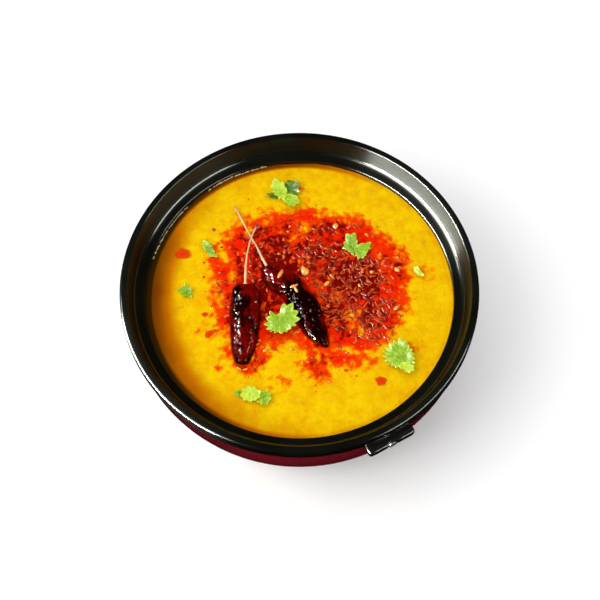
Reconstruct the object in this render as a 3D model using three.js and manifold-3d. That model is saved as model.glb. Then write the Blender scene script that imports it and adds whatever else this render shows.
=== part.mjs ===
// A serving pot of dal: a black pan with a stepped rim in a red outer body, two small side lugs,
// the dal up to its level, and two dried red chillies lying in it.
// Millimetres, +Z up. The origin is the middle of the base, on the surface the pot stands on.
import * as THREE from 'three';
import { mergeVertices } from 'three/addons/utils/BufferGeometryUtils.js';
import Module from 'manifold-3d';

const wasm = await Module();
wasm.setup();

// ---- driving dimensions ----
const GAP = 0.3;              // clearance between pieces that touch
const SEGMENTS = 56;          // facets round the pot
const ARC_STEPS = 2;          // facets along the pan's and the dal's arcs
const BODY_ARC_STEPS = 4;     // and along the outer body's

const HEIGHT = 78;            // base to lip
const RIM_R = 110;            // outside of the rim band
const RIM_BAND = 7.6;         // height of the rim band
const RIM_ROUND = 1.8;        // rounding of the lip's outer edge
const BAND_ROUND = 0.8;       // rounding of the band's lower edge
const LIP_INNER_R = 105.4;
const LIP_EASE = 0.6;         // easing of the lip's inner edge, down
const LIP_EASE_OUT = 1;       // and outwards
const LEDGE_R = 101.8;        // where the steep inner slope turns into the ledge
const LEDGE_DROP = 12.1;
const LEDGE_FILLET = 3;
const LEDGE_FALL = 1;         // how much lower the ledge is at its inner edge

const DAL_DROP = 16.7;        // the dal's level below the lip
const HOLLOW_GAP = 0.39;      // round a chilli, in the hollow that it presses in the dal

const PAN_WALL = 1.6;
const PAN_INNER_R = 95.8;     // straight wall below the ledge
const PAN_FLAT_R = 57.1;      // flat part of the pan's floor

const BODY_R = 107;           // red outer body
const BODY_WALL = 1.9;
const SHOULDER_DROP = 24.6;   // where its straight wall turns into the round corner
const BODY_CORNER_R = 50;
const BASE_R = 62;            // flat foot under the body
const BASE_CHAMFER = 1;

const LUG_ANGLES = { front: 299, back: 119 };   // degrees round the pot from +X
const LUG_WIDTH = 31.2;
const LUG_FRONT_R = 113.3;    // its outer face
const LUG_TOP_DROP = 13;
const LUG_THICK = 5.8;
const LUG_ROUND = 1.1;
const LUG_ROOT = 4;           // depth of the bar inside the wall, before it is hollowed to fit
const LUG_ARC_STEPS = 4;
const POCKET_SIDES = 24;
const SCREW_R = 2.9;
const SCREW_HEAD = 1.6;
const SCREW_PROUD = 0.7;      // how far the head stands out of the lug
const SCREW_CROWN = 0.9;      // where the head's dome turns over, as a fraction of its radius
const SCREW_SIDES = 20;
const SCREW_ARC_STEPS = 4;

const CHILLI_R = 8.7;         // greatest half width
const CHILLI_FLATTEN = 0.78;  // height over width
const CHILLI_SIDES = 18;      // facets round a chilli
const CHILLI_STATIONS = 14;   // and along it
const STEM_R = 1.1;
const STEM_SIDES = 7;
const STEM_STEPS = 12;

// outline is radius and distance along the body, as fractions of the greatest radius and the length.
// body and stem are middle lines, from the stem's end of the body: x, y, height over the dal.
const CHILLIES = [
  {
    name: 'chilli_left',
    outline: [
      [0, 0], [0.4, 0.003], [0.72, 0.045], [0.97, 0.24], [1, 0.4],
      [0.9, 0.64], [0.74, 0.8], [0.5, 0.92], [0.3, 0.985], [0, 1],
    ],
    body: [[-33.8, 6.2, 2.4], [-33.3, -8, 2.1], [-33.4, -24, 1.8], [-34.2, -37, 1.4], [-34.4, -48.6, 1]],
    stem: [[-33.7, 3.2, 3], [-33.6, 12, 4.3], [-33.1, 23.9, 4.9], [-30.6, 37, 4.7], [-27, 47.8, 4]],
  },
  {
    name: 'chilli_right',
    outline: [
      [0, 0], [0.4, 0.008], [0.82, 0.08], [0.98, 0.28], [1, 0.52],
      [0.96, 0.74], [0.78, 0.89], [0.45, 0.98], [0, 1],
    ],
    body: [
      [-20.6, 18.2, 2.4], [-11.5, 9.5, 2.2], [-3.4, 2, 2.2],
      [4.2, -12, 2], [8.8, -25.5, 1.5], [13.2, -35.6, 1],
    ],
    stem: [[-18.8, 15.4, 3], [-23.2, 23.4, 3.2], [-26.8, 32, 2], [-31.6, 41.4, 1.7], [-42, 62.1, 3.2]],
  },
];

// ---- derived sizes ----
const SHOULDER_Z = HEIGHT - SHOULDER_DROP;
const BASE_FLOOR = SHOULDER_Z - BODY_CORNER_R + BODY_WALL;   // top of the body's own floor
const BODY_FLAT_R = BODY_R - BODY_CORNER_R;
const DAL_Z = HEIGHT - DAL_DROP;
const PAN_UNDER = BASE_FLOOR + GAP;
const PAN_OUTER_R = PAN_INNER_R + PAN_WALL;
const PAN_CORNER_R = PAN_OUTER_R - PAN_FLAT_R;
const PAN_CORNER_Z = PAN_UNDER + PAN_CORNER_R;
const QUARTER = Math.PI / 2;

const materials = {
  nonstick: new THREE.MeshStandardMaterial({ color: 0x14150f, roughness: 0.35, metalness: 0.2 }),
  enamel: new THREE.MeshStandardMaterial({ color: 0x7d0f18, roughness: 0.2, metalness: 0.1 }),
  moulding: new THREE.MeshStandardMaterial({ color: 0x0d0d0c, roughness: 0.3, metalness: 0 }),
  steel: new THREE.MeshStandardMaterial({ color: 0x5b5b58, roughness: 0.35, metalness: 1 }),
  dal: new THREE.MeshStandardMaterial({ color: 0xf0b90a, roughness: 0.4, metalness: 0 }),
  chilli: new THREE.MeshStandardMaterial({ color: 0x2a0508, roughness: 0.25, metalness: 0 }),
};

// ---- solids and shapes ----

// A closed geometry as a manifold solid: only positions, with shared corners merged.
function solidOf(geometry) {
  const bare = geometry.clone();
  bare.deleteAttribute('normal');
  bare.deleteAttribute('uv');
  const merged = mergeVertices(bare);
  return new wasm.Manifold(new wasm.Mesh({
    numProp: 3,
    vertProperties: new Float32Array(merged.attributes.position.array),
    triVerts: new Uint32Array(merged.index.array),
  }));
}

function geometryOf(solid) {
  const { vertProperties, triVerts } = solid.getMesh();
  const geometry = new THREE.BufferGeometry();
  geometry.setAttribute('position', new THREE.BufferAttribute(vertProperties, 3));
  geometry.setIndex(new THREE.BufferAttribute(triVerts, 1));
  geometry.computeVertexNormals();
  return geometry;
}

// A path in radius and height turned once round the Z axis.
function turned(path, arcSteps) {
  return new THREE.LatheGeometry(path.getPoints(arcSteps), SEGMENTS).rotateX(QUARTER);
}

// The corner b of the line a, b, c moved sideways by t, to the right of the way it runs.
function movedCorner(a, b, c, t) {
  const right = (from, to) => new THREE.Vector2(to.y - from.y, from.x - to.x).normalize();
  const first = right(a, b);
  const second = right(b, c);
  return first.clone().add(second).multiplyScalar(t / (1 + first.dot(second))).add(b);
}

// The point a distance from one point towards another.
function towards(from, to, distance) {
  return to.clone().sub(from).setLength(distance).add(from);
}

// ---- the pan's inner surface ----
const ledge = new THREE.Vector2(LEDGE_R, HEIGHT - LEDGE_DROP);
const lip = new THREE.Vector2(LIP_INNER_R, HEIGHT - LIP_EASE);
const wallTop = new THREE.Vector2(PAN_INNER_R, ledge.y - LEDGE_FALL);
const wallFoot = new THREE.Vector2(PAN_INNER_R, PAN_CORNER_Z);

// Pan: up the outside of the wall, round the rim band and back down the inside.
function panGeometry() {
  const outerWallTop = movedCorner(wallFoot, wallTop, ledge, PAN_WALL);
  const outerLedge = movedCorner(wallTop, ledge, lip, PAN_WALL);
  const bandFoot = HEIGHT - RIM_BAND;
  const lean = (lip.x - ledge.x) / (lip.y - ledge.y);
  const path = new THREE.Path();
  path.moveTo(0, PAN_UNDER);
  path.lineTo(PAN_FLAT_R, PAN_UNDER);
  path.absarc(PAN_FLAT_R, PAN_CORNER_Z, PAN_CORNER_R, -QUARTER, 0, false);
  path.lineTo(outerWallTop.x, outerWallTop.y);
  path.lineTo(outerLedge.x, outerLedge.y);
  path.lineTo(outerLedge.x + lean * (bandFoot - outerLedge.y), bandFoot);
  path.absarc(RIM_R - BAND_ROUND, bandFoot + BAND_ROUND, BAND_ROUND, -QUARTER, 0, false);
  path.absarc(RIM_R - RIM_ROUND, HEIGHT - RIM_ROUND, RIM_ROUND, 0, QUARTER, false);
  path.lineTo(LIP_INNER_R + LIP_EASE_OUT, HEIGHT);
  path.quadraticCurveTo(LIP_INNER_R, HEIGHT, lip.x, lip.y);
  const aboveLedge = towards(ledge, lip, LEDGE_FILLET);
  const belowLedge = towards(ledge, wallTop, LEDGE_FILLET);
  path.lineTo(aboveLedge.x, aboveLedge.y);
  path.quadraticCurveTo(ledge.x, ledge.y, belowLedge.x, belowLedge.y);
  path.lineTo(wallTop.x, wallTop.y);
  path.absarc(PAN_FLAT_R, PAN_CORNER_Z, PAN_CORNER_R - PAN_WALL, 0, -QUARTER, true);
  path.lineTo(0, PAN_UNDER + PAN_WALL);
  return turned(path, ARC_STEPS);
}

// Outer body: flat foot, round corner, straight wall up to the rim band, and back down inside.
function bodyGeometry() {
  const top = HEIGHT - RIM_BAND - GAP;
  const footAngle = Math.asin((BASE_R - BODY_FLAT_R) / BODY_CORNER_R) - QUARTER;
  const path = new THREE.Path();
  path.moveTo(0, 0);
  path.lineTo(BASE_R - BASE_CHAMFER, 0);
  path.lineTo(BASE_R, BASE_CHAMFER);
  path.absarc(BODY_FLAT_R, SHOULDER_Z, BODY_CORNER_R, footAngle, 0, false);
  path.lineTo(BODY_R, top);
  path.lineTo(BODY_R - BODY_WALL, top);
  path.absarc(BODY_FLAT_R, SHOULDER_Z, BODY_CORNER_R - BODY_WALL, 0, -QUARTER, true);
  path.lineTo(0, BASE_FLOOR);
  return turned(path, BODY_ARC_STEPS);
}

// ---- chillies ----
const overDal = (points) => points.map(([x, y, z]) => new THREE.Vector3(x, y, DAL_Z + z));

// A closed spindle of a chilli's outline, its axis bent along a curve and its height flattened.
// grow widens it all round, for the hollow that it presses in the dal.
function chilliBody({ outline, body }, grow = 0) {
  const curve = new THREE.CatmullRomCurve3(overDal(body));
  const rounded = new THREE.SplineCurve(outline.map(([r, s]) => new THREE.Vector2(r, s)));
  const profile = rounded.getPoints(CHILLI_STATIONS).map(({ x, y }, i) => {
    const onAxis = i === 0 || i === CHILLI_STATIONS;
    return new THREE.Vector2(onAxis ? 0 : x * CHILLI_R + grow, y);
  });
  const geometry = new THREE.LatheGeometry(profile, CHILLI_SIDES);
  const position = geometry.attributes.position;
  const up = new THREE.Vector3(0, 0, 1);
  for (let i = 0; i < position.count; i++) {
    const along = THREE.MathUtils.clamp(position.getY(i), 0, 1);
    const tangent = curve.getTangentAt(along);
    const side = new THREE.Vector3().crossVectors(tangent, up).normalize();
    const over = new THREE.Vector3().crossVectors(side, tangent);
    const point = curve.getPointAt(along)
      .addScaledVector(side, position.getX(i))
      .addScaledVector(over, position.getZ(i) * CHILLI_FLATTEN)
      .addScaledVector(tangent, (2 * along - 1) * grow);
    position.setXYZ(i, point.x, point.y, point.z);
  }
  return geometry;
}

function stemGeometry({ stem }) {
  const ring = new THREE.Shape();
  ring.absarc(0, 0, STEM_R, 0, 2 * Math.PI, false);
  return new THREE.ExtrudeGeometry(ring, {
    steps: STEM_STEPS,
    curveSegments: STEM_SIDES,
    extrudePath: new THREE.CatmullRomCurve3(overDal(stem)),
  });
}

// ---- dal ----

// Everything inside the pan up to the level, with a hollow under each chilli.
function dalGeometry() {
  const path = new THREE.Path();
  const floor = PAN_UNDER + PAN_WALL + GAP;
  path.moveTo(0, floor);
  path.lineTo(PAN_FLAT_R, floor);
  path.absarc(PAN_FLAT_R, PAN_CORNER_Z, PAN_CORNER_Z - floor, -QUARTER, 0, false);
  path.lineTo(PAN_INNER_R - GAP, DAL_Z);
  path.lineTo(0, DAL_Z);
  let dal = solidOf(turned(path, ARC_STEPS));
  for (const chilli of CHILLIES) {
    dal = dal.subtract(solidOf(chilliBody(chilli, HOLLOW_GAP)));
  }
  return geometryOf(dal);
}

// ---- lugs ----

// Lug: a bar with rounded outer edges, standing on +Y, hollowed to fit the body's wall and
// pocketed for its screw.
function lugGeometry() {
  const low = HEIGHT - LUG_TOP_DROP - LUG_THICK;
  const high = low + LUG_THICK;
  const section = new THREE.Shape();
  section.moveTo(BODY_R - LUG_ROOT, low);
  section.absarc(LUG_FRONT_R - LUG_ROUND, low + LUG_ROUND, LUG_ROUND, -QUARTER, 0, false);
  section.absarc(LUG_FRONT_R - LUG_ROUND, high - LUG_ROUND, LUG_ROUND, 0, QUARTER, false);
  section.lineTo(BODY_R - LUG_ROOT, high);
  const bar = new THREE.ExtrudeGeometry(section, {
    depth: LUG_WIDTH,
    bevelEnabled: false,
    curveSegments: LUG_ARC_STEPS,
  });
  bar.applyMatrix4(new THREE.Matrix4().makeBasis(
    new THREE.Vector3(0, 1, 0), new THREE.Vector3(0, 0, 1), new THREE.Vector3(1, 0, 0),
  ));
  bar.translate(-LUG_WIDTH / 2, 0, 0);
  const wall = new THREE.CylinderGeometry(BODY_R + GAP, BODY_R + GAP, HEIGHT, 2 * SEGMENTS)
    .rotateX(QUARTER)
    .translate(0, 0, (low + high) / 2);
  const pocketDepth = SCREW_HEAD - SCREW_PROUD + GAP;
  const pocketR = SCREW_R + GAP;
  const pocket = new THREE.CylinderGeometry(pocketR, pocketR, 2 * pocketDepth, POCKET_SIDES)
    .translate(0, LUG_FRONT_R, (low + high) / 2);
  return geometryOf(solidOf(bar).subtract(solidOf(wall)).subtract(solidOf(pocket)));
}

// Screw: a low domed head on the lug's outer face, its axis along Y.
function screwGeometry() {
  const head = new THREE.Path();
  head.moveTo(0, 0);
  head.lineTo(SCREW_R, 0);
  head.lineTo(SCREW_R, SCREW_HEAD / 2);
  head.quadraticCurveTo(SCREW_R * SCREW_CROWN, SCREW_HEAD, 0, SCREW_HEAD);
  return new THREE.LatheGeometry(head.getPoints(SCREW_ARC_STEPS), SCREW_SIDES)
    .translate(0, LUG_FRONT_R + SCREW_PROUD - SCREW_HEAD, HEIGHT - LUG_TOP_DROP - LUG_THICK / 2);
}

// ---- assembly ----
function named(name, geometry, material) {
  const mesh = new THREE.Mesh(geometry, material);
  mesh.name = name;
  return mesh;
}

const pot = new THREE.Group();
pot.add(named('outer_body', bodyGeometry(), materials.enamel));
pot.add(named('pan', panGeometry(), materials.nonstick));
for (const [side, degrees] of Object.entries(LUG_ANGLES)) {
  const lug = new THREE.Group();
  lug.rotation.z = THREE.MathUtils.degToRad(degrees - 90);
  lug.add(named(`lug_${side}`, lugGeometry(), materials.moulding));
  lug.add(named(`lug_${side}_screw`, screwGeometry(), materials.steel));
  pot.add(lug);
}

const food = new THREE.Group();
food.add(named('dal', dalGeometry(), materials.dal));
for (const chilli of CHILLIES) {
  const whole = solidOf(chilliBody(chilli)).add(solidOf(stemGeometry(chilli)));
  food.add(named(chilli.name, geometryOf(whole), materials.chilli));
}

const dish = new THREE.Group();
dish.add(pot, food);

export default dish;
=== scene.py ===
"""A pot of golden dal: a black pan in its red body, the dal, its tempering, dried chillies and herbs."""
import math

import bmesh
import bpy
import numpy as np
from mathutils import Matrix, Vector


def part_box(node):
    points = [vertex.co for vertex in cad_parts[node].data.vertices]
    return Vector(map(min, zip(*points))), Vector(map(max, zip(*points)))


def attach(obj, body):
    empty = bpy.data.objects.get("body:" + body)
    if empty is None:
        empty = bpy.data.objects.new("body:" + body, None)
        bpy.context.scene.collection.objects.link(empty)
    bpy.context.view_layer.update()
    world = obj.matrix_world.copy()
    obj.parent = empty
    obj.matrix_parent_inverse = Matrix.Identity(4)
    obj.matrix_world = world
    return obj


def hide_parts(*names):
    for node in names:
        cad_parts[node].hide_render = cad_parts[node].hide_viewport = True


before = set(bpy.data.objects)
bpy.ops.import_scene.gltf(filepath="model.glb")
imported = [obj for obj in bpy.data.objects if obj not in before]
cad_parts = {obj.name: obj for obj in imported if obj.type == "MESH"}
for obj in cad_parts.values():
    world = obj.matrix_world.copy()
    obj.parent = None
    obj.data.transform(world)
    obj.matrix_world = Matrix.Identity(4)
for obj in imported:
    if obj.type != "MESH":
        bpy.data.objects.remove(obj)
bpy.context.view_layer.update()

bl_info = {
    "name": "Pot of Dal",
    "version": (1, 0, 0),
    "blender": (4, 5, 0),
    "location": "View3D > Sidebar > Dal",
    "description": "Builds a pan of dal in its red body, with tempering, dried chillies and coriander",
    "category": "Object",
}

MM = 0.001
TURN = 2 * math.pi
WELD = 2e-6                     # corners closer than this are one corner, in metres
FLOOR_HALF = 4                  # half the floor's side, in metres
FLOOR_GAP = 0.0003              # between the floor and the pot's foot, in metres
SENSOR_WIDTH = 36               # in millimetres
VIEW_SHIFT = 0.001, -0.0301     # of the view, in shares of its width

# ---- places that come from the frame, in millimetres ----
PAN_LOW, PAN_HIGH = (np.array(corner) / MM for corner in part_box("pan"))
BODY_HIGH = np.array(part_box("outer_body")[1]) / MM
DAL_LOW, DAL_HIGH = (np.array(corner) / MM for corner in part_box("dal"))
RIM_R, LIP_Z, PAN_UNDER = PAN_HIGH[0], PAN_HIGH[2], PAN_LOW[2]
BODY_R, BODY_TOP = BODY_HIGH[0], BODY_HIGH[2]
LEVEL = DAL_HIGH[2]
DAL_FLOOR = DAL_LOW[2]

# ---- the pot's section, in millimetres ----
LIP_INNER_R, LEDGE_R, LEDGE_Z = 105.4, 101.8, LIP_Z - 12.1
BAND_Z = LIP_Z - 7.6            # lower edge of the rim band
PAN_INNER_R, LEDGE_INNER_Z = 95.8, LEDGE_Z - 1
PAN_WALL, PAN_FLAT_R, PAN_CORNER_Z = 1.6, 57.1, 45.9
BODY_WALL, BODY_CORNER_R, BASE_R = 1.9, 50.0, 62.0
SHOULDER_Z = LIP_Z - 24.6
DAL_CLEAR = 0.3                 # between the dal and the pan under its level
LUG_BEARINGS = {"front": 299, "back": 119}      # in degrees from +X
LUG_FACE = 113.3                # from the pot's middle to a lug's outer face

# ---- the chillies ----
# outline: shares of the radius and of the length. body and stem: middle lines in x, y and height over the
# dal. creases: how deep the skin is folded. pinch: how far it narrows at its bend. glow_top and glow_rest:
# how readily light comes through the skin above that bend and under it.
CHILLI_FLATTEN = 0.78
CHILLIES = {
    "left": {
        "node": "chilli_left", "seed": 11, "creases": 1.5, "pinch": 0.0,
        "glow_top": 0.0, "glow_rest": 0.0,
        "outline": [[0, 0], [0.52, 0.004], [0.82, 0.035], [0.97, 0.17], [1, 0.38],
                    [0.92, 0.64], [0.76, 0.8], [0.56, 0.92], [0.4, 0.985], [0, 1]],
        "body": [[-33.8, 4.4, 2.4], [-33.3, -8, 2.1], [-33.4, -24, 1.8], [-34.2, -37, 1.4],
                 [-34.4, -47.6, 1]],
        "stem": [[-33.7, 3.2, 3], [-33.6, 12, 4.3], [-33.1, 23.9, 4.9], [-30.6, 37, 4.7],
                 [-27, 47.8, 4]],
    },
    "right": {
        "node": "chilli_right", "seed": 23, "creases": 2.1, "pinch": 0.22,
        "glow_top": 0.4, "glow_rest": -0.55,
        "outline": [[0, 0], [0.4, 0.008], [0.82, 0.08], [0.98, 0.28], [1, 0.52],
                    [0.92, 0.68], [0.72, 0.81], [0.42, 0.92], [0.18, 0.98], [0, 1]],
        "body": [[-20.6, 18.2, 2.4], [-11.5, 9.5, 2.2], [-3.4, 2, 2.2], [4, -11, 2],
                 [8.8, -23, 1.5], [17.2, -36.6, 1]],
        "stem": [[-18.8, 15.4, 3], [-23.2, 23.4, 3.2], [-26.8, 32, 2], [-31.6, 41.4, 1.7],
                 [-42, 62.1, 3.2]],
    },
}

# ---- patches on the dal: x, y, half length, half width, turn in degrees ----
# where the oil lies, where it is thin, and where it stands deep; the dark patches beside and between the
# chillies are painted shadow of the chillies
RED_OIL = [
    [25, 6, 42, 50, 0], [-25, 8, 30, 46, 0], [-31, -38, 13, 13, 0], [11, -45, 8, 11, 0],
    [27, -41, 15, 8, 0], [-4, 50, 26, 10, 0], [62, 20, 5, 9, 0], [-44, 24, 12, 15, 20],
    [-46, 2, 8, 14, 0],
]
THIN_OIL = [
    [-49, 30, 6, 12, 10], [-10, -41, 10, 7, 0], [4, 47, 6, 8, 0], [-32, 46, 6, 4, 30],
    [-50, -6, 5, 16, 10], [33, -15, 6, 6, 0], [-20, -38, 5, 9, 0], [26, -37, 8, 4, 0],
    [24, -3, 8, 4, -35], [-19, 52, 10, 4, 0], [10, -30, 5, 4, 0], [-42, 12, 3, 18, 8],
    [-36, -4, 2.5, 9, 0], [-31, -44, 3, 8, 0], [11, -47, 3, 10, 0], [31, -40, 10, 3, 0],
    [50, 26, 3, 12, 30], [12, 8, 3, 9, 10], [40, -28, 3, 12, 50],
]
DARK_OIL_AND_SHADOW = [
    [-13, 37, 12, 10, 0], [-8, 22, 15, 9, -20], [-23, 0, 5, 16, -8], [-27, -40, 4, 9, 0],
    [20, 18, 12, 9, 0], [38, 2, 12, 8, 0], [20, -10, 9, 12, 0], [30, -22, 12, 6, 0],
    [27, 32, 9, 7, 0], [16, 46, 11, 5, 0], [41, 51, 3, 3, 0], [63, 22, 3, 6, 0],
    [50, -17, 8, 4, 0], [44, 18, 9, 7, 0], [-14, -6, 7, 5, 0], [3, 34, 8, 5, 0], [33, 10, 20, 17, 0],
    [22, -10, 12, 16, 0], [40, -14, 15, 9, 20], [14, 28, 10, 8, 0], [-20, -5, 9, 14, 0],
    [-24, 30, 7, 8, 0], [4, 20, 9, 7, 0], [-38, 20, 4, 8, 0], [-42, -8, 3, 10, 0], [-30, 43, 8, 4, 20],
    [-34, -42, 3, 8, 0], [12, -44, 3, 9, 0], [-24, -4, 8, 21, -6], [-14, 20, 14, 13, 0],
]
# painted shade along the wall, where the rim shades the dal from the left light: how strongly the dal is
# painted browner towards the wall, and how dark a thin ring at the wall is painted, both as bearing in
# degrees and strength
EDGE_SHADE_INNER_R, EDGE_SHADE_OUTER_R = 69, 94
EDGE_SHADE = [[0, 0.12], [60, 0.05], [100, 0.1], [120, 0.14], [140, 0.4], [160, 0.9], [180, 1.12],
              [200, 1], [220, 0.7], [240, 0.48], [260, 0.28], [280, 0.14], [320, 0.08]]
WALL_SHADE_INNER_R, WALL_SHADE_OUTER_R = 91.2, 94.4
WALL_SHADE = [[0, 0.15], [50, 0.2], [70, 0.45], [85, 0.8], [105, 1], [200, 1], [225, 0.65], [250, 0.4],
        [280, 0.22], [320, 0.15]]
# painted shadow beside the herbs, where the dal is tinted towards the thin oil's orange, and how far that
# stays under full red
HERB_SHADOW_TINTS = [
    [2, 71, 5, 7, 0], [80, 14.5, 6, 5, 0], [-13, -61, 8, 6, 0], [-42, -50, 7, 8, 30], [72, -36, 5, 5, 0],
    [-57, -24, 7, 8, 0],
]
HERB_SHADOW_RED = -3.4
# where the cumin seeds lie thickest
SEED_PATCHES = [
    [32, 8, 26, 24, 0], [24, -14, 16, 12, 0], [44, -20, 18, 12, 20], [14, 28, 16, 12, 0],
    [54, -8, 10, 12, 0],
]


# ---- settings that a user would change ----

def length(label, text, default, low=0.0):
    """A length property in metres."""
    return bpy.props.FloatProperty(name=label, description=text, default=default, min=low, unit="LENGTH",
                                   subtype="DISTANCE", precision=5)


def share(label, text, default):
    """A property from 0 to 1."""
    return bpy.props.FloatProperty(name=label, description=text, default=default, min=0, max=1,
                                   subtype="FACTOR")


def angle(label, text, degrees):
    """An angle property, whose default is given in degrees."""
    return bpy.props.FloatProperty(name=label, description=text, default=math.radians(degrees),
                                   subtype="ANGLE", unit="ROTATION")


def count(label, text, default):
    """A whole number of like things."""
    return bpy.props.IntProperty(name=label, description=text, default=default, min=1, max=2000)


def power(label, text, default):
    """A light's power in watts."""
    return bpy.props.FloatProperty(name=label, description=text, default=default, min=0, unit="POWER")


def colour(label, text, default):
    """A linear colour property."""
    return bpy.props.FloatVectorProperty(name=label, description=text, default=default, size=3, min=0,
                                         max=1, subtype="COLOR")


class DalPotSettings(bpy.types.PropertyGroup):
    """Sizes and colours of the pan, its outer body and its lugs."""
    lip_round: length("Lip rounding", "Rounding of the rim's outer edge", 1.8 * MM)
    ledge_round: length("Ledge rounding", "Rounding where the inner slope meets the ledge", 5 * MM)
    facets: count("Facets", "Facets round the pot", 320)
    coating: colour("Coating", "Black non-stick coating", (0.003, 0.0033, 0.002))
    coating_worn: colour("Coating, thin", "The coating where it is thinnest", (0.006, 0.0066, 0.0045))
    enamel: colour("Enamel", "Red enamel of the outer body", (0.17, 0.004, 0.012))
    enamel_deep: colour("Enamel, deep", "The enamel where it is thickest", (0.12, 0.003, 0.008))
    moulding: colour("Moulding", "Black side lugs", (0.004, 0.004, 0.004))
    screw: colour("Screw", "Dark steel of the lugs' screws", (0.25, 0.25, 0.24))


class DalFoodSettings(bpy.types.PropertyGroup):
    """Relief and colours of the dal and its tempering."""
    swell: length("Swell", "Height of the dal's broad swells", 0.35 * MM)
    grain: length("Grain", "Height of the lentil grains", 0.18 * MM)
    meniscus: length("Meniscus", "How far the dal climbs the wall", 0.75 * MM)
    clump: length("Clumps", "Height of the tempering's clumps", 0.7 * MM)
    dal: colour("Dal", "Golden dal", (0.80, 0.53, 0.002))
    dal_deep: colour("Dal, deep", "Dal between its grains", (0.72, 0.345, 0.001))
    dal_speck: colour("Dal, specks", "Spice and skins in the dal", (0.42, 0.19, 0.01))
    # painted shade: the next three colours paint the dal browner, then dark, towards the wall where the rim
    # shades it
    dal_edge_shade: colour("Dal, edge", "Dal that has taken oil along the wall", (0.5, 0.14, 0.0005))
    dal_rim_shade: colour("Dal, rim", "The thin brown film at the wall", (0.17, 0.042, 0.0006))
    dal_shade: colour("Dal, shade", "The film where it is darkest", (0.03, 0.013, 0.001))
    # the crust specks' pale colour is a painted highlight along the dal's edge at the back
    crust_count: count("Crust", "How many dried specks lie on the wall", 150)
    crust: colour("Crust", "Dried dal on the wall", (0.72, 0.64, 0.34))
    droplet_count: count("Droplets", "How many tiny drops lie along the oil's edge", 60)
    oil_orange: colour("Oil, thin", "Dal stained by a thin film of chilli oil", (0.76, 0.055, 0.0005))
    oil_red: colour("Oil, red", "Chilli oil", (0.74, 0.014, 0.0003))
    oil_drop: colour("Oil, drop", "A lone drop of chilli oil", (0.68, 0.03, 0.0004))
    # also paints the shadow beside and between the chillies
    oil_dark_and_shadow: colour("Oil, dark", "Chilli oil where it stands deepest", (0.15, 0.002, 0.001))


class DalToppingSettings(bpy.types.PropertyGroup):
    """Sizes, numbers and colours of what lies on the dal."""
    chilli_radius: length("Chilli radius", "Greatest half width of a dried chilli", 9 * MM)
    stem_radius: length("Stem radius", "Half thickness of a chilli's stem", 0.52 * MM)
    seed_length: length("Seed length", "Length of a cumin seed", 4.9 * MM)
    seed_width: length("Seed width", "Width of a cumin seed", 1.1 * MM)
    seed_count: count("Seeds", "How many cumin seeds lie in the tempering", 500)
    flake_count: count("Flakes", "How many chopped flakes lie in the tempering", 200)
    leaf_thickness: length("Leaf thickness", "Thickness of a coriander leaf", 0.3 * MM)
    chilli: colour("Chilli", "Dried chilli skin", (0.008, 0.0005, 0.0005))
    chilli_red: colour("Chilli, red", "Where light comes through the skin", (0.2, 0.002, 0.001))
    stem: colour("Stem", "Dry chilli stem", (0.66, 0.4, 0.17))
    stem_tip: colour("Stem tip", "The stem's dark ends", (0.14, 0.035, 0.015))
    cumin: colour("Cumin", "Fried cumin seed", (0.6, 0.07, 0.003))
    cumin_dark: colour("Cumin, dark", "The darkest seeds", (0.22, 0.007, 0.001))
    flake: colour("Flake", "Chopped flake in oil", (0.85, 0.14, 0.012))
    flake_dark: colour("Flake, dark", "The darkest flakes", (0.3, 0.006, 0.001))
    garlic: colour("Garlic", "Fried garlic", (0.9, 0.46, 0.08))
    garlic_brown: colour("Garlic, browned", "Garlic where it has browned", (0.75, 0.2, 0.015))
    leaf: colour("Leaf", "Coriander leaf", (0.27, 0.47, 0.012))
    leaf_pale: colour("Leaf, pale", "The leaf's pale edge and veins", (0.56, 0.71, 0.045))
    leaf_dark_and_shade: colour("Leaf, dark", "The leaf's dark underside", (0.07, 0.16, 0.003))


class DalStageSettings(bpy.types.PropertyGroup):
    """Camera, lights and floor."""
    elevation: angle("Camera elevation", "How high the camera looks from", 62.93)
    distance: length("Camera distance", "From the camera to the middle of the rim", 0.75)
    lens: bpy.props.FloatProperty(name="Lens", description="Focal length", default=73.6, min=1,
                                  subtype="DISTANCE_CAMERA", unit="CAMERA")
    overhead: power("Overhead", "Power of the wide soft light from above", 16)
    key: power("Key", "Power of the soft light from the left", 9)
    gleam_left: power("Gleam, left", "Power of the left box that shows in gloss", 58)
    gleam_right: power("Gleam, right", "Power of the right box that shows in gloss", 24)
    gleam_low: power("Gleam, low", "Power of the low box that shows in the rim's inner slope", 480)
    gleam_colour: colour("Gleam colour", "Colour of the boxes that show in gloss", (0.97, 1.0, 0.88))
    sky: share("Sky", "Brightness of the surroundings", 0.72)
    floor: colour("Floor", "Plain pale floor", (0.95, 0.95, 0.95))


# ---- shaders ----

class Signal:
    """A shader socket in an expression: arithmetic on it adds Math nodes."""

    def __init__(self, finish, socket):
        self.finish, self.socket = finish, socket

    def math(self, operation, first, second):
        """Adds a Math node on two values or sockets."""
        return self.finish.node("ShaderNodeMath", {"operation": operation}, {0: first, 1: second})

    def __add__(self, other):
        return self.math("ADD", self, other)

    def __sub__(self, other):
        return self.math("SUBTRACT", self, other)

    def __rsub__(self, other):
        return self.math("SUBTRACT", other, self)

    def __mul__(self, other):
        return self.math("MULTIPLY", self, other)

    __radd__, __rmul__ = __add__, __mul__


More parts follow.
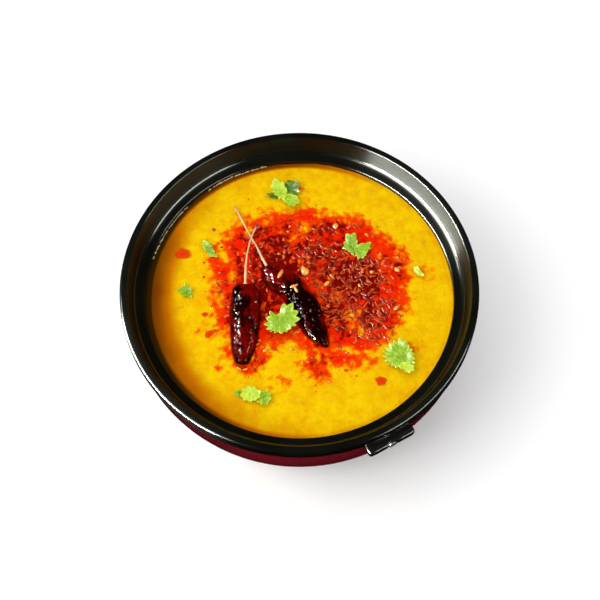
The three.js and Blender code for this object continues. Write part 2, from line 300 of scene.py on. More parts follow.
class Finish:
    """One material: its shader's constants are set when it is made, and what varies is fed to it later."""

    def __init__(self, name, **constants):
        self.material = bpy.data.materials.new(name)
        self.material.use_nodes = True
        self.tree = self.material.node_tree
        self.shader = self.tree.nodes["Principled BSDF"]
        for socket, value in constants.items():
            self.shader.inputs[socket.replace("_", " ")].default_value = value
        self.place = self.node("ShaderNodeTexCoord", output="Object")

    def node(self, kind, settings=(), sockets=(), output=0):
        """Adds a node: its settings first, then a value or a link for each socket. Gives one output."""
        made = self.tree.nodes.new(kind)
        for key, value in dict(settings).items():
            setattr(made, key, value)
        for key, value in dict(sockets).items():
            if isinstance(value, Signal):
                self.tree.links.new(value.socket, made.inputs[key])
            else:
                made.inputs[key].default_value = value
        return Signal(self, made.outputs[output])

    def noise(self, size, detail=2.0, roughness=0.5, stretch=None):
        """Cloudy noise from 0 to 1, whose clouds are about size millimetres across."""
        place = self.place if stretch is None else self.node(
            "ShaderNodeVectorMath", {"operation": "MULTIPLY"}, {0: self.place, 1: stretch})
        return self.node("ShaderNodeTexNoise", (), {
            "Vector": place, "Scale": 1 / (size * MM), "Detail": detail, "Roughness": roughness})

    def cells(self, size, feature="F1"):
        """Distance from the nearest of scattered points about size millimetres apart."""
        return self.node("ShaderNodeTexVoronoi", {"feature": feature},
                         {"Vector": self.place, "Scale": 1 / (size * MM)})

    def own(self, attribute):
        """A number that the mesh carries."""
        return self.node("ShaderNodeAttribute", {"attribute_name": attribute}, output="Fac")

    def ease(self, low, high, value):
        """0 below low, 1 above high, and a smooth step between."""
        return self.node("ShaderNodeMapRange", {"interpolation_type": "SMOOTHSTEP"},
                         {"Value": value, "From Min": low, "From Max": high})

    def mix(self, factor, first, second):
        """A colour between two, by factor."""
        full = [c if isinstance(c, Signal) else (*c, 1.0) for c in (first, second)]
        return self.node("ShaderNodeMix", {"data_type": "RGBA"}, {0: factor, 6: full[0], 7: full[1]}, 2)

    def feed(self, **signals):
        """Links what varies over the surface to the shader."""
        for socket, signal in signals.items():
            self.tree.links.new(signal.socket, self.shader.inputs[socket.replace("_", " ")])
        return self.material

    def bump(self, height, depth, strength=1.0):
        """A normal from a height signal, depth millimetres deep."""
        return self.node("ShaderNodeBump", (), {
            "Height": height, "Distance": depth * MM, "Strength": strength})


def scaled(tint, share):
    """A colour with each of its channels scaled."""
    return [channel * share for channel in tint]


def coating_finish(s):
    """Non-stick coating: glossy on its edges and its ledge, and spun with fine rings on its inner slope,
    which spread a reflection up and down the slope but not along it."""
    f = Finish("black_coating", IOR=1.22, Anisotropic=1.0, Anisotropic_Rotation=0.25, Coat_Roughness=0.14)
    cloud = f.noise(30, 3)
    speck = f.noise(0.5, 2)
    spun = f.own("spun")
    return f.feed(
        Base_Color=f.mix(f.ease(0.35, 0.75, cloud), s.coating, s.coating_worn),
        Roughness=0.16 + spun * 0.13 + cloud * 0.05 + speck * 0.03,
        Coat_Weight=0.55 - spun * 0.55,
        Normal=f.bump(speck, 0.01, 0.3),
    )


def enamel_finish(s):
    """Gloss red enamel, faintly uneven, with a deeper red where it has pooled."""
    f = Finish("red_enamel", Specular_IOR_Level=0.15, Coat_Weight=0.8, Coat_Roughness=0.05)
    pool = f.noise(60, 2)
    return f.feed(
        Base_Color=f.mix(f.ease(0.3, 0.7, pool), s.enamel, s.enamel_deep),
        Roughness=0.22 + f.noise(3) * 0.06,
        Normal=f.bump(f.noise(1.2, 2), 0.004, 0.3),
    )


def moulding_finish(s):
    """Gloss black moulding with a fine moulded grain."""
    f = Finish("black_moulding", Specular_IOR_Level=0.1, Coat_Weight=1.0, Coat_Roughness=0.06)
    grain = f.noise(0.7, 3)
    return f.feed(
        Base_Color=f.mix(grain, s.moulding, scaled(s.moulding, 1.6)),
        Roughness=0.3 + grain * 0.16,
        Normal=f.bump(grain, 0.006, 0.3),
    )


def screw_finish(s):
    """Turned dark steel."""
    f = Finish("screw_steel", Metallic=1.0)
    wear = f.noise(0.9, 4)
    return f.feed(
        Base_Color=f.mix(wear, s.screw, scaled(s.screw, 0.45)),
        Roughness=0.28 + wear * 0.2,
    )


def dal_finish(s):
    """Golden dal with painted shade towards the wall, stained by chilli oil: thin oil is orange, then red,
    and burgundy where it stands deep."""
    f = Finish("dal", Specular_IOR_Level=0.0, Coat_Roughness=0.08)
    grain = f.noise(1.6, 3, 0.6)
    lumps = f.cells(3.2)
    cloud = f.noise(14, 3)
    blotch = grain * 0.3 + f.noise(4.5, 3) * 0.4 + cloud * 0.3
    plain = f.mix(f.ease(0.34, 0.68, blotch), s.dal, s.dal_deep)
    specks = f.ease(0.62, 0.8, f.noise(0.9, 2) * 0.7 + f.noise(11, 2) * 0.4)
    plain = f.mix(specks * 0.6, plain, s.dal_speck)
    # edge is painted shade: browner, then dark, towards the wall where the rim shades the dal
    edge = f.own("edge") + (cloud - 0.5) * 0.25
    plain = f.mix(f.ease(0.05, 0.62, edge), plain, s.dal_edge_shade)
    plain = f.mix(f.ease(0.45, 1.05, edge), plain, s.dal_rim_shade)
    plain = f.mix(f.ease(0.95, 1.5, edge), plain, s.dal_shade)
    fray = (f.noise(9, 3) - 0.5) * 18 + (f.noise(3.2, 3, 0.4) - 0.5) * 11
    red = f.own("red") + fray
    stain = f.ease(-5.0, 1.5, red) * (1.0 - f.ease(0.58, 0.7, f.noise(4.2, 3, 0.6)) * 0.5)
    oily = f.ease(-0.5, 6.0, red)
    streak = f.noise(3.2, 3, 0.55, (1.0, 0.55, 1.0))
    thinned = f.ease(0.55, 0.68, streak) * 0.85
    # deep is oil that stands deep, and painted shadow beside and between the chillies
    deep = f.own("dark") * 0.85 + (f.noise(6, 3) - 0.5) * 24 + (f.noise(2.6, 2) - 0.5) * 16
    stained = f.mix(stain, plain, s.oil_orange)
    reddened = f.mix(oily * (1.0 - thinned), stained, s.oil_red)
    darkened = f.mix(f.ease(-3.0, 4.0, deep) * oily * (1.0 - thinned), reddened, s.oil_dark_and_shadow)
    relief = grain * 0.5 + lumps * 0.5
    return f.feed(
        Base_Color=darkened,
        Roughness=0.42 - oily * 0.16 + grain * 0.12,
        Coat_Weight=0.02 + oily * 0.18,
        Normal=f.bump(relief, 0.3, 0.7),
    )


def chilli_finish(s):
    """Dried chilli skin: near black, dark red where light comes through, with an oily gloss."""
    f = Finish("dried_chilli", Specular_IOR_Level=0.0, Coat_Roughness=0.05)
    patch = f.noise(8, 3, 0.6)
    crease = f.noise(1.2, 3, 0.6)
    oiled = f.ease(0.44, 0.62, f.noise(3, 3))
    glow = f.ease(0.52, 0.94, patch + (crease - 0.5) * 0.4 + f.own("thin") * 0.4)
    return f.feed(
        Base_Color=f.mix(glow, s.chilli, s.chilli_red),
        Roughness=0.3 + crease * 0.25,
        Coat_Weight=0.02 + oiled * 0.32 + f.ease(0.6, 1.3, f.own("thin")) * 0.3,
        Normal=f.bump(crease + f.noise(3.5, 2), 0.9, 1.0),
    )


def stem_finish(s):
    """Dry stem, pale and pinkish with darker ends and fibres along it."""
    f = Finish("chilli_stem", Specular_IOR_Level=0.2)
    fibre = f.noise(0.8, 3)
    return f.feed(
        Base_Color=f.mix(f.ease(0.2, 0.9, f.own("tone") + (fibre - 0.5) * 0.7), s.stem, s.stem_tip),
        Roughness=0.4 + fibre * 0.3,
        Normal=f.bump(fibre, 0.12, 0.7),
    )


def toned_finish(name, light, dark, roughness, coat, size=0.8, **constants):
    """A finish between two colours: each item's own tone, mottled within the item."""
    f = Finish(name, Coat_Weight=coat, Coat_Roughness=0.08, Specular_IOR_Level=0.1, **constants)
    mottle = f.noise(size, 3)
    return f.feed(
        Base_Color=f.mix(f.ease(0.1, 1.0, f.own("tone") + (mottle - 0.5) * 0.6), light, dark),
        Roughness=roughness + mottle * 0.15,
        Normal=f.bump(mottle, 0.08, 0.6),
    )


def oil_finish(s):
    """A drop of oil, deep orange in the middle and clear at its edge, where the dal shows through."""
    f = Finish("chilli_oil", Specular_IOR_Level=0.1, Coat_Weight=0.8, Coat_Roughness=0.05)
    cloud = f.noise(3, 3)
    out = f.own("tone") + (cloud - 0.5) * 0.35
    return f.feed(
        Base_Color=f.mix(f.ease(0.0, 0.9, out), s.oil_drop, s.oil_orange),
        Roughness=0.15 + cloud * 0.1,
        Alpha=1.0 - f.ease(0.45, 1.0, out),
    )


def leaf_finish(s):
    """Coriander leaf: green with pale edges and veins, painted darker on its underside and towards its
    middle as painted shade.
    """
    f = Finish("coriander", Specular_IOR_Level=0.1, Coat_Weight=0.15, Coat_Roughness=0.2)
    cloud = f.noise(2.2, 3, 0.6)
    fine = f.noise(0.6, 3)
    shade = f.ease(0.15, 1.0, f.own("tone") + (cloud - 0.45) * 1.5)
    body = f.mix(shade, s.leaf, s.leaf_dark_and_shade)
    pale = f.ease(0.35, 1.0, f.own("pale") - (cloud - 0.5) * 0.9)
    return f.feed(
        Base_Color=f.mix(pale, body, s.leaf_pale),
        Roughness=0.38 + fine * 0.2,
        Normal=f.bump(fine + f.own("pale"), 0.12, 0.6),
    )


# ---- meshes ----

def grid_faces(rows, columns, copies=1):
    """Four-cornered faces between neighbouring rows and round the columns of a grid, for each copy."""
    row = np.arange(rows - 1)[:, None] * columns
    column = np.arange(columns)[None, :]
    after = (column + 1) % columns
    faces = np.stack([row + column, row + after, row + columns + after, row + columns + column], -1)
    starts = np.arange(copies)[:, None, None] * rows * columns
    return (faces.reshape(1, -1, 4) + starts).reshape(-1, 4)


def piece(name, points, material, nodes=(), numbers=None):
    """A finished piece from grids of points in millimetres, (copies, rows, columns, 3), closed at each end.

    Rows run along the shape and columns round it. Corners in one place are welded, so rows that shrink
    to a point close the shape, and the normals are then turned outwards."""
    points = np.asarray(points, float)
    if points.ndim == 3:
        points = points[None]
    copies, rows, columns, _ = points.shape
    if not np.isfinite(points).all() or points.size == 0:
        raise RuntimeError(f"{name}: its surface could not be worked out")
    mesh = bpy.data.meshes.new(name)
    mesh.from_pydata((points.reshape(-1, 3) * MM).tolist(), [], grid_faces(rows, columns, copies).tolist())
    for key, values in (numbers or {}).items():
        layer = mesh.attributes.new(key, "FLOAT", "POINT")
        spread = np.broadcast_to(values, (copies, rows, columns)).astype(np.float32)
        layer.data.foreach_set("value", spread.ravel())
    shell = bmesh.new()
    shell.from_mesh(mesh)
    bmesh.ops.remove_doubles(shell, verts=shell.verts, dist=WELD)
    bmesh.ops.recalc_face_normals(shell, faces=shell.faces)
    shell.to_mesh(mesh)
    shell.free()
    mesh.polygons.foreach_set("use_smooth", np.ones(len(mesh.polygons), bool))
    mesh.materials.append(material)
    made = bpy.data.objects.new(name, mesh)
    bpy.context.scene.collection.objects.link(made)
    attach(made, "root")
    if nodes:
        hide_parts(*nodes)
    return made


def smooth(low, high, value):
    """0 below low, 1 above high, and a smooth step between."""
    t = np.clip((value - low) / (high - low), 0, 1)
    return t * t * (3 - 2 * t)


def noise(x, y, seed, wrap=64):
    """Smooth random heights from -1 to 1, one random value at each whole number, blended between.

    x repeats after wrap, which closes a pattern round a shape."""
    table = np.random.default_rng(seed).uniform(-1, 1, (wrap, 64))
    cell_x, cell_y = np.floor(x).astype(int), np.floor(y).astype(int)
    u, v = (smooth(0, 1, x - cell_x), smooth(0, 1, y - cell_y))
    corner = [[table[(cell_x + i) % wrap, (cell_y + j) % 64] for j in (0, 1)] for i in (0, 1)]
    low = corner[0][0] * (1 - u) + corner[1][0] * u
    high = corner[0][1] * (1 - u) + corner[1][1] * u
    return low * (1 - v) + high * v


def along(knots, shares):
    """Points on a smooth curve through knots, at shares of its length: cubic pieces that pass each knot
    in the direction of the line between its neighbours."""
    knots = np.asarray(knots, float)
    steps = np.linalg.norm(np.diff(knots, axis=0), axis=1)
    reach = np.concatenate([[0], np.cumsum(steps)])
    slopes = np.gradient(knots, reach, axis=0)
    fine = np.linspace(0, reach[-1], 600)
    i = np.clip(np.searchsorted(reach, fine, side="right") - 1, 0, len(steps) - 1)
    h = steps[i][:, None]
    t = ((fine - reach[i])[:, None]) / h
    curve = ((2 * t**3 - 3 * t**2 + 1) * knots[i] + (t**3 - 2 * t**2 + t) * h * slopes[i]
             + (3 * t**2 - 2 * t**3) * knots[i + 1] + (t**3 - t**2) * h * slopes[i + 1])
    run = np.concatenate([[0], np.cumsum(np.linalg.norm(np.diff(curve, axis=0), axis=1))])
    wanted = np.asarray(shares) * run[-1]
    return np.stack([np.interp(wanted, run, curve[:, k]) for k in range(curve.shape[1])], -1)


def unit(vectors):
    """Vectors of length one."""
    return vectors / np.maximum(np.linalg.norm(vectors, axis=-1, keepdims=True), 1e-12)


def rounded(corners, steps=7):
    """A line in radius and height through corners (r, z, rounding), each rounded by a quarter-like arc:
    the corner is cut off at its rounding's tangent points and bridged by a quadratic curve."""
    corners = np.array(corners, float)
    out = [corners[0, :2]]
    for before, here, after in zip(corners[:-2], corners[1:-1], corners[2:]):
        a, b = unit(before[:2] - here[:2]), unit(after[:2] - here[:2])
        reach = here[2] / max(math.tan(math.acos(np.clip(a @ b, -1, 1)) / 2), 1e-6)
        start, end = here[:2] + a * reach, here[:2] + b * reach
        t = np.linspace(0, 1, steps)[:, None]
        weight = math.sqrt(max((1 - a @ b) / 2, 1e-6))
        bow = (1 - t)**2 + 2 * weight * t * (1 - t) + t**2
        out.extend(((1 - t)**2 * start + 2 * weight * t * (1 - t) * here[:2] + t**2 * end) / bow)
    out.append(corners[-1, :2])
    return np.array(out)


def arc(centre_r, centre_z, radius, start, end, steps):
    """Points on an arc in radius and height, angles in degrees, each as a sharp corner of a section."""
    t = np.radians(np.linspace(start, end, steps))
    return [[centre_r + radius * c, centre_z + radius * s, 0] for c, s in zip(np.cos(t), np.sin(t))]


def revolve(section, facets):
    """A section in radius and height turned once round the Z axis: x = r cos t, y = r sin t."""
    t = np.linspace(0, TURN, facets, endpoint=False)
    r, z = section[:, 0][:, None], section[:, 1][:, None]
    return np.stack(np.broadcast_arrays(r * np.cos(t), r * np.sin(t), z), -1)


def patches(x, y, shapes):
    """How far inside the nearest of several ellipses a point lies, in millimetres, negative outside:
    one less the point's distance in half lengths, times the smaller half length."""
    sx, sy, half_x, half_y, turn = np.array(shapes, float).T
    c, s = np.cos(np.radians(turn)), np.sin(np.radians(turn))
    dx, dy = np.asarray(x)[..., None] - sx, np.asarray(y)[..., None] - sy
    reach = np.hypot((dx * c + dy * s) / half_x, (dy * c - dx * s) / half_y)
    return ((1 - reach) * np.minimum(half_x, half_y)).max(-1)


def chilli_rings(chilli, radius, rows):
    """Middle line, radius and share of the length at each ring of a chilli's body."""
    line_length = np.linalg.norm(np.diff(np.array(chilli["body"], float), axis=0), axis=1).sum()
    outline = np.array(chilli["outline"], float) * [radius, line_length]
    ring = along(outline, np.linspace(0, 1, rows))
    share_along = np.clip(ring[:, 1] / line_length, 0, 1)
    middle = along(chilli["body"], share_along) + [0, 0, LEVEL]
    ring[0, 0] = ring[-1, 0] = 0
    return middle, np.maximum(ring[:, 0], 0), share_along


def dal_height(x, y, food, toppings):
    """Height of the dal over its level, in millimetres.

    Broad swells, lentil grains and, in the tempering, clumps; then each chilli presses a hollow, whose
    bottom is the chilli's underside, and pushes up a low lip round it."""
    swell, grain, clump = food.swell / MM, food.grain / MM, food.clump / MM
    z = swell * (noise(x / 24 + 9, y / 24 + 5, 1) + 0.5 * noise(x / 9, y / 9, 2))
    z = z + grain * (noise(x / 3.1, y / 3.1, 3) + 0.7 * noise(x / 1.7, y / 1.7, 4))
    inside = smooth(-3, 7, patches(x, y, RED_OIL))
    z = z + inside * clump * (0.35 + 0.55 * noise(x / 4.3, y / 4.3, 5) + 0.4 * noise(x / 2.2, y / 2.2, 6))
    for chilli in CHILLIES.values():
        middle, radii, _ = chilli_rings(chilli, toppings.chilli_radius / MM, 60)
        gap = np.hypot(x[..., None] - middle[:, 0], y[..., None] - middle[:, 1])
        nearest = (gap - radii).argmin(-1)
        away, wide = np.take_along_axis(gap, nearest[..., None], -1)[..., 0], radii[nearest] + 0.3
        under = middle[nearest, 2] - LEVEL - CHILLI_FLATTEN * np.sqrt(np.maximum(wide**2 - away**2, 0))
        z = z + 0.55 * np.exp(-((away - wide) / 1.6)**2)
        z = np.where(away < wide, np.minimum(z, under), z)
    return z


# ---- pieces ----

class DAL_OT_pan(bpy.types.Operator):
    """Build the black pan with its stepped rim"""
    bl_idname = "dal.pan"
    bl_label = "Pan"
    bl_options = {"REGISTER", "UNDO"}

    def execute(self, context):
        """The section's corners, as radius, height and rounding, go out under the floor, up the outside,
        over the lip, down the inner slope, in over the ledge and down inside."""
        pot = context.scene.dal_pot
        outer_r = PAN_INNER_R + PAN_WALL
        corner_r = outer_r - PAN_FLAT_R
        lip_round, ledge_round = pot.lip_round / MM, pot.ledge_round / MM
        section = rounded([
            [0, PAN_UNDER, 0], [PAN_FLAT_R, PAN_UNDER, 0],
            *arc(PAN_FLAT_R, PAN_CORNER_Z, corner_r, -88, 0, 20),
            [outer_r, LEDGE_INNER_Z - PAN_WALL, 1.5], [LEDGE_R + 1.4, LEDGE_Z - PAN_WALL, 1.2],
            [LEDGE_R + 2.9, BAND_Z, 0.4], [RIM_R, BAND_Z, 0.8], [RIM_R, LIP_Z, lip_round],
            [LIP_INNER_R + 0.2, LIP_Z, 0.85], [LEDGE_R, LEDGE_Z, ledge_round],
            [PAN_INNER_R, LEDGE_INNER_Z, 0.9],
            *arc(PAN_FLAT_R, PAN_CORNER_Z, corner_r - PAN_WALL, 0, -88, 20),
            [PAN_FLAT_R, PAN_UNDER + PAN_WALL, 0], [0, PAN_UNDER + PAN_WALL, 0],
        ])
        points = revolve(section, pot.facets)
        r, z = np.hypot(points[..., 0], points[..., 1]), points[..., 2]
        on_slope = smooth(LEDGE_Z + 0.8, LEDGE_Z + 3.6, z) * (1 - smooth(LIP_Z - 1, LIP_Z - 0.2, z))
        spun = on_slope * (r < LIP_INNER_R + 0.5)
        piece("pan_coated", points, coating_finish(pot), ["pan"], {"spun": spun})
        return {"FINISHED"}


class DAL_OT_outer_body(bpy.types.Operator):
    """Build the red outer body that the pan sits in"""
    bl_idname = "dal.outer_body"
    bl_label = "Outer Body"
    bl_options = {"REGISTER", "UNDO"}

    def execute(self, context):
        """The section's corners, as radius, height and rounding, go out over the foot, up the curved side,
        over the upper edge and back down inside."""
        pot = context.scene.dal_pot
        flat_r = BODY_R - BODY_CORNER_R
        foot = math.degrees(math.asin((BASE_R - flat_r) / BODY_CORNER_R)) - 90
        floor = SHOULDER_Z - BODY_CORNER_R + BODY_WALL
        section = rounded([
            [0, 0, 0], [BASE_R - 1.6, 0, 0], [BASE_R, SHOULDER_Z - BODY_CORNER_R + 0.6, 0.8],
            *arc(flat_r, SHOULDER_Z, BODY_CORNER_R, foot + 2, 0, 26),
            [BODY_R, BODY_TOP, 0.6], [BODY_R - BODY_WALL, BODY_TOP, 0.6],
            *arc(flat_r, SHOULDER_Z, BODY_CORNER_R - BODY_WALL, 0, -88, 20),
            [flat_r, floor, 0], [0, floor, 0],
        ])
        piece("outer_body_enamel", revolve(section, pot.facets), enamel_finish(pot),
              ["outer_body"])
        return {"FINISHED"}


class DAL_OT_lugs(bpy.types.Operator):
    """Build the two side lugs and their screws"""
    bl_idname = "dal.lugs"
    bl_label = "Lugs and Screws"
    bl_options = {"REGISTER", "UNDO"}

    def execute(self, context):
        """Each lug and its screw are worked out standing on +Y and turned to their bearing."""
        pot = context.scene.dal_pot
        black, steel = moulding_finish(pot), screw_finish(pot)
        for side, degrees in LUG_BEARINGS.items():
            low, high = (np.array(corner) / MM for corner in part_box(f"lug_{side}"))
            middle_z = (low[2] + high[2]) / 2
            lug = self.turned(self.lug(middle_z, (high[2] - low[2]) / 2), degrees)
            piece(f"lug_{side}_moulding", lug, black, [f"lug_{side}"])
            screw = self.turned(self.screw(middle_z), degrees)
            piece(f"lug_{side}_screw_head", screw, steel, [f"lug_{side}_screw"])
        return {"FINISHED"}

    @staticmethod
    def turned(points, degrees):
        """Points that stand on +Y, turned round Z to an angle from +X."""
        t = math.radians(degrees - 90)
        x, y, z = np.moveaxis(points, -1, 0)
        return np.stack([x * math.cos(t) - y * math.sin(t), x * math.sin(t) + y * math.cos(t), z], -1)

    @staticmethod
    def lug(middle_z, half_height):
        """A bar along the wall: its section is a rounded oblong, |a|^5 + |b|^5 = 1, shrunk to nothing in
        the last millimetres of its length and waisted in the middle. Its back follows the wall and its
        face is dished for the screw."""
        half_width, wall = 15.6, BODY_R + 0.3
        step = np.sin(np.linspace(-math.pi / 2, math.pi / 2, 72))[:, None]
        t = np.linspace(0, TURN, 64, endpoint=False)[None, :]
        end = (1 - np.abs(step)**14)**(1 / 4)
        x = half_width * step + 0 * t
        back = np.sqrt(wall**2 - x**2)
        middle_y, half_depth = (LUG_FACE + back) / 2, (LUG_FACE - back) / 2
        a, b = (np.sign(wave) * np.abs(wave)**0.4 for wave in (np.cos(t), np.sin(t)))
        y = middle_y + half_depth * a * end
        waist = 1 - 0.2 * np.exp(-(x / 4.5)**2)
        z = middle_z + half_height * b * end * waist
        dish = (1 - smooth(3.0, 3.6, np.hypot(x, z - middle_z))) * (a > 0)
        return np.stack([x, y - 1.0 * dish, z], -1)

    @staticmethod
    def screw(middle_z):
        """A low dome, h = 1 - (r/R)^2.4, with a cross cut into it."""
        radius, head, proud = 2.9, 1.6, 0.7
        r = np.concatenate([np.linspace(0, radius, 26), [radius, 0]])[:, None]
        t = np.linspace(0, TURN, 48, endpoint=False)[None, :]
        x, z = r * np.cos(t), r * np.sin(t)
        top = head * (0.55 + 0.45 * (1 - (r / radius)**2.4)) + 0 * t
        arm = np.minimum(np.abs(x), np.abs(z))
        cut = (1 - smooth(0.32, 0.5, arm)) * (1 - smooth(1.5, 1.8, np.hypot(x, z)))
        h = top - 0.7 * cut
        h[-2:] = 0
        return np.stack([x, LUG_FACE + proud - head + h, middle_z + z], -1)


class DAL_OT_dal(bpy.types.Operator):
    """Build the dal with its grain, its tempering and its raised edge"""
    bl_idname = "dal.dal"
    bl_label = "Dal"
    bl_options = {"REGISTER", "UNDO"}

    def execute(self, context):
        """Rings out from the middle over the top, then down the wall and back in under the dal. Near the
        wall the surface climbs it in a thin uneven film."""
        food, toppings = context.scene.dal_food, context.scene.dal_toppings
        columns, rings = 600, 140
        t = np.linspace(0, TURN, columns, endpoint=False)[None, :]
        share_out = np.linspace(0, 1, rings)[:, None] ** 0.92
        climb = food.meniscus / MM * (1 + 0.45 * noise(t / TURN * 40, 0 * t, 31, 40)
                                      + 0.3 * noise(t / TURN * 130, 0 * t, 32, 130))
        edge_r = PAN_INNER_R - 0.03
        r = share_out * edge_r + 0 * t
        x, y = r * np.cos(t), r * np.sin(t)
        near = np.exp(-(edge_r - r) / 0.9)
        top = dal_height(x, y, food, toppings) * (1 - near) + (climb + 0.05) * near
        corner = PAN_CORNER_Z - DAL_FLOOR
        skirt = np.array([[PAN_INNER_R - DAL_CLEAR, LEVEL - 0.6, 0]]
                         + arc(PAN_FLAT_R, PAN_CORNER_Z, corner, 0, -90, 12) + [[0, DAL_FLOOR, 0]])
        under = revolve(skirt[:, :2], columns)
        points = np.concatenate([np.stack([x, y, LEVEL + top], -1), under])
        px, py = points[..., 0], points[..., 1]
        thin = np.maximum(patches(px, py, THIN_OIL) + 4, 0)
        red = np.minimum(patches(px, py, RED_OIL), 9 - 1.4 * thin)
        # painted shadow beside the herbs: the dal there is tinted towards orange
        red = np.maximum(red, 2 * np.minimum(patches(px, py, HERB_SHADOW_TINTS), 0) + HERB_SHADOW_RED)
        # edge is painted shade along the wall: browner where the rim shades the dal, darkest in a ring at
        # the wall
        edge = (self.ring(px, py, EDGE_SHADE, EDGE_SHADE_INNER_R, EDGE_SHADE_OUTER_R)
                + self.ring(px, py, WALL_SHADE, WALL_SHADE_INNER_R, WALL_SHADE_OUTER_R))
        # dark carries oil that stands deep and painted shadow beside and between the chillies
        piece("dal_surface", points, dal_finish(food), ["dal"], {
            "red": red, "dark": patches(px, py, DARK_OIL_AND_SHADOW), "edge": edge})
        return {"FINISHED"}

    @staticmethod
    def ring(x, y, table, inner_r, outer_r):
        """A strength that rises from one radius to another, times a table's value for the bearing."""
        bearing, strength = np.array(table, float).T
        return (smooth(inner_r, outer_r, np.hypot(x, y))
                * np.interp(np.degrees(np.arctan2(y, x)) % 360, bearing, strength, period=360))


class DAL_OT_chillies(bpy.types.Operator):
    """Build the two dried chillies and their stems"""
    bl_idname = "dal.chillies"
    bl_label = "Chillies"
    bl_options = {"REGISTER", "UNDO"}

    def execute(self, context):
        """Each pod carries how readily light comes through its skin, and each stem its tone."""
        toppings = context.scene.dal_toppings
        skin, stalk = chilli_finish(toppings), stem_finish(toppings)
        for side, chilli in CHILLIES.items():
            points, thin = self.body(chilli, toppings)
            piece(f"chilli_{side}_pod", points, skin, [chilli["node"]], {"thin": thin})
            points, tone = self.stem(chilli, toppings)
            piece(f"chilli_{side}_stem", points, stalk, (), {"tone": tone})
        return {"FINISHED"}

    @staticmethod
    def swept(middle, radii, sides, flatten=1.0):
        """Rings carried along a middle line: side and up directions square to the line, and a radius for
        each ring or each point of it."""
        t = np.linspace(0, TURN, sides, endpoint=False)[None, :, None]
        forward = unit(np.gradient(middle, axis=0))
        across = unit(np.cross(forward, [0, 0, 1]))
        over = np.cross(across, forward)
        return (middle[:, None] + across[:, None] * np.cos(t) * radii[..., None]
                + over[:, None] * np.sin(t) * radii[..., None] * flatten)

    def body(self, chilli, toppings):
        """The spindle of the chilli's outline: its radius falls in a few long folds that wander round
        it, in short cross creases, in dents, and in one pinch across it, all fading out at both ends.
        Above the pinch the skin is more shrunken and lets more light through. The folds' grooves and the
        pinch itself are painted darker: painted shade in the creases."""
        rows, sides, seed, top = 190, 96, chilli["seed"], chilli["glow_top"]
        middle, radii, s = chilli_rings(chilli, toppings.chilli_radius / MM, rows)
        t = np.linspace(0, 1, sides, endpoint=False)[None, :]
        s = s[:, None]
        fold = 1 - np.abs(noise(t * 7 + 0.6 * noise(0 * t, s * 5, seed), s * 2.5, seed + 1, 7))**0.6
        crease = 1 - np.abs(noise(t * 9, s * 16, seed + 2, 9))**0.7
        dent = noise(t * 5, s * 7, seed + 3, 5)
        fine = noise(t * 26, s * 34, seed + 4, 26)
        fade = smooth(0, 0.06, s) * smooth(0, 0.05, 1 - s)
        shrunk = 1 - smooth(0.3, 0.36, s)
        creases = chilli["creases"] * (1 + 0.5 * top * shrunk)
        folded = -0.13 * fold - 0.06 * crease + 0.06 * dent + 0.02 * fine
        relief = 0.05 + 0.17 * top * shrunk * fade + creases * fade * folded
        pinch = chilli["pinch"] * np.exp(-((s - 0.37) / 0.035)**2)
        width = radii[:, None] * (1 + relief - pinch)
        glow = top * shrunk + chilli["glow_rest"] * (1 - shrunk)
        # thin falls in the folds' grooves and far below zero at the pinch: painted shade in the creases
        return self.swept(middle, width, sides, CHILLI_FLATTEN), 1 - fold + glow - 8 * pinch

    def stem(self, chilli, toppings):
        """A tube along the stem's line: wide and lobed where it caps the pod, thin along its length, and
        slightly knobbed at its end."""
        rows, sides = 90, 20
        s = np.linspace(0, 1, rows)
        middle = along(chilli["stem"], s) + [0, 0, LEVEL]
        thin = toppings.stem_radius / MM
        radii = thin * (1 + 2.2 * np.exp(-(s / 0.07)**2) + 0.55 * np.exp(-((s - 0.2) / 0.12)**2)
                        + 0.5 * smooth(0.93, 0.99, s))
        t = np.linspace(0, 1, sides, endpoint=False)[None, :]
        lobes = 1 + 0.3 * np.exp(-(s[:, None] / 0.06)**2) * np.cos(5 * TURN * t)
        bark = 1 + 0.22 * noise(t * 6, s[:, None] * 30, chilli["seed"] + 7, 6)
        width = radii[:, None] * lobes * bark
        width[0] = width[-1] = 0
        tone = (np.exp(-(s / 0.05)**2) * 0.5 + smooth(0.86, 1, s) * 0.9
                + 0.4 * noise(s * 9, 0 * s, chilli["seed"]))[:, None]
        return self.swept(middle, width, sides), tone


def settled(rng, total, density, reach=68):
    """Random places in a square, kept where a random number falls below their density."""
    x, y = rng.uniform(-reach, reach, (2, 40 * total))
    keep = rng.uniform(0, 1, x.size) < density(x, y)
    if keep.sum() < total:
        raise RuntimeError("too few places for what is scattered")
    return x[keep][:total], y[keep][:total]


def clear_of_chillies(x, y, toppings, margin=0.0):
    """1 where a place is beside the chillies and 0 under them."""
    clear = np.ones_like(x)
    for chilli in CHILLIES.values():
        middle, radii, _ = chilli_rings(chilli, toppings.chilli_radius / MM, 40)
        gap = np.hypot(x[:, None] - middle[:, 0], y[:, None] - middle[:, 1]) - radii
        clear *= gap.min(-1) > margin
    return clear


def per_copy(values):
    """One number for each copy, shaped to act on grids of points."""
    return np.asarray(values)[..., None, None]


def scattered(shape, x, y, z, yaw, pitch=0.0, roll=0.0, size=1.0):
    """Copies of one shape, (rows, columns, 3) or one per copy, each rolled about its length, pitched,
    yawed, sized and moved to its place."""
    px, py, pz = np.moveaxis(shape if shape.ndim == 4 else shape[None], -1, 0) * per_copy(size)
    turn = [(np.cos(per_copy(a)), np.sin(per_copy(a))) for a in (roll, pitch, yaw)]
    py, pz = py * turn[0][0] - pz * turn[0][1], py * turn[0][1] + pz * turn[0][0]
    px, pz = px * turn[1][0] - pz * turn[1][1], px * turn[1][1] + pz * turn[1][0]
    px, py = px * turn[2][0] - py * turn[2][1], px * turn[2][1] + py * turn[2][0]
    return np.stack([px + per_copy(x), py + per_copy(y), pz + per_copy(z)], -1)


